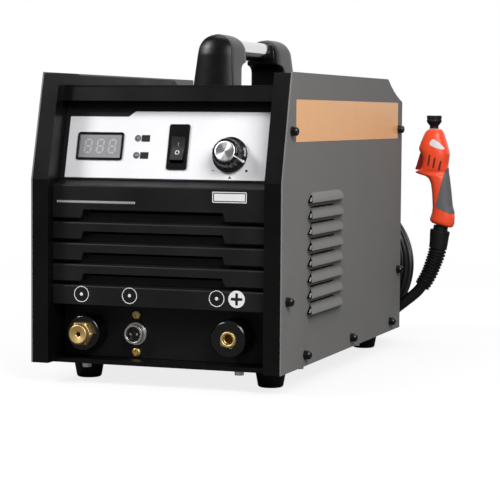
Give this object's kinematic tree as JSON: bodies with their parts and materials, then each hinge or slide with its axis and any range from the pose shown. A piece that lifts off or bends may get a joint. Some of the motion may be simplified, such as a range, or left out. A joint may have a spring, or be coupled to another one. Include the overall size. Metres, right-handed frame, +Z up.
{
  "type": "plasma cutter unit",
  "caption": "Inverter plasma cutter in a folded steel case with a louvred leaning front, carrying handle, lead sockets, built-in compressor and a hand torch on its coiled lead.",
  "frame": {"origin": "on the floor under the middle of the box round the unit and its torch, without the torch lead", "axes": "+X to the right as seen from the front, +Y from the control front to the rear, +Z up"},
  "size_m": [0.3148, 0.4957, 0.336],
  "materials": {
    "grey_enamel": "fine textured grey powder coat, semi-matt",
    "black_enamel": "fine textured black powder coat, semi-matt",
    "black_moulding": "moulded black ABS, fine grain",
    "gloss_black": "glossy moulded black plastic",
    "fascia_silver": "silver-white satin overlay film on steel",
    "smoked_window": "smoked acrylic window",
    "lamp_lens": "clear grey lamp lens",
    "foot_rubber": "moulded black rubber",
    "nickel_steel": "nickel-plated steel",
    "black_steel": "blackened steel, semi-gloss",
    "polished_tube": "polished steel tube",
    "spun_aluminium": "spun aluminium with circular grain",
    "turned_brass": "turned brass",
    "zinc_steel": "zinc-plated sheet steel",
    "finned_aluminium": "extruded aluminium",
    "circuit_board": "green circuit board",
    "capacitor_sleeve": "dark shrink sleeve",
    "core_steel": "varnished laminated core",
    "copper_winding": "copper",
    "cast_aluminium": "cast metal, dull grey",
    "blue_hose": "blue polyurethane hose",
    "cream_moulding": "cream moulded plastic",
    "blue_moulding": "blue moulded plastic",
    "orange_moulding": "bright orange-red moulded nylon",
    "grey_grip": "soft grey moulded grip",
    "red_moulding": "dark red moulded plastic",
    "lead_rubber": "black rubber sheath",
    "strap_fabric": "black woven hook-and-loop strap"
  },
  "bodies": {
    "cutter_case": {"base_tray": "black_enamel", "front_frame": "black_enamel", "front_louvre": "black_moulding", "control_fascia": "fascia_silver", "connector_panel": "black_enamel", "side_panel_left": "grey_enamel", "side_panel_right": "grey_enamel", "top_cover": "black_enamel", "rear_panel": "black_enamel", "feet": "foot_rubber", "underside_screws": "nickel_steel", "case_screws": "black_steel", "handle_front_end": "black_moulding", "handle_rear_end": "black_moulding", "handle_tube": "polished_tube", "handle_screws": "nickel_steel", "display_bezel": "gloss_black", "display_window": "smoked_window", "status_lamps": "lamp_lens", "switch_housing": "gloss_black", "potentiometer": "nickel_steel", "control_board": "circuit_board", "torch_outlet_collar": "black_moulding", "torch_outlet_fitting": "turned_brass", "control_socket_shell": "nickel_steel", "control_socket_insert": "black_moulding", "socket_screws": "turned_brass", "work_socket_body": "black_moulding", "work_socket_contact": "turned_brass", "inner_shelf": "zinc_steel", "heatsink": "finned_aluminium", "power_board": "circuit_board", "capacitors": "capacitor_sleeve", "transformer": "core_steel", "choke": "copper_winding", "compressor_pump": "cast_aluminium", "compressor_motor": "black_enamel", "compressor_mounts": "foot_rubber", "air_pipe": "copper_winding", "air_hose": "blue_hose", "solenoid_valve": "black_moulding", "fan_frame": "black_moulding", "fan_guard": "nickel_steel", "breaker_body": "cream_moulding", "mains_gland": "black_moulding", "torch_handle": "orange_moulding", "torch_grip": "grey_grip", "torch_head": "black_moulding", "torch_boot": "lead_rubber", "lead_tube": "lead_rubber", "lead_coil": "lead_rubber", "coil_tie": "strap_fabric", "lead_sleeve": "lead_rubber", "lead_plugs": "turned_brass"},
    "current_knob": {"knob_body": "black_moulding", "knob_cap": "spun_aluminium"},
    "mode_rocker": {"switch_rocker": "black_moulding"},
    "fan_rotor_body": {"fan_rotor": "black_moulding"},
    "breaker_handle": {"breaker_lever": "blue_moulding"},
    "torch_trigger_body": {"torch_trigger": "red_moulding"}
  },
  "joints": [
    {"name": "knob_turn", "type": "hinge", "parent": "cutter_case", "child": "current_knob", "pos_m": [0.0375, -0.18949, 0.21802], "axis": [0, -0.9684, 0.2493], "range_deg": [-140, 140]},
    {"name": "rocker_tip", "type": "hinge", "parent": "cutter_case", "child": "mode_rocker", "pos_m": [-0.015, -0.18447, 0.22148], "axis": [1, 0, 0], "range_deg": [0, 16]},
    {"name": "fan_spin", "type": "hinge", "parent": "cutter_case", "child": "fan_rotor_body", "pos_m": [0.014, 0.18332, 0.198], "axis": [0, 1, 0], "continuous": true},
    {"name": "breaker_throw", "type": "hinge", "parent": "cutter_case", "child": "breaker_handle", "pos_m": [-0.098, 0.18932, 0.216], "axis": [1, 0, 0], "range_deg": [0, 64]},
    {"name": "trigger_squeeze", "type": "hinge", "parent": "cutter_case", "child": "torch_trigger_body", "pos_m": [0.1246, 0.20817, 0.2118], "axis": [0, -1, 0], "range_deg": [0, 7], "stiffness_Nm_per_rad": 0.4}
  ]
}
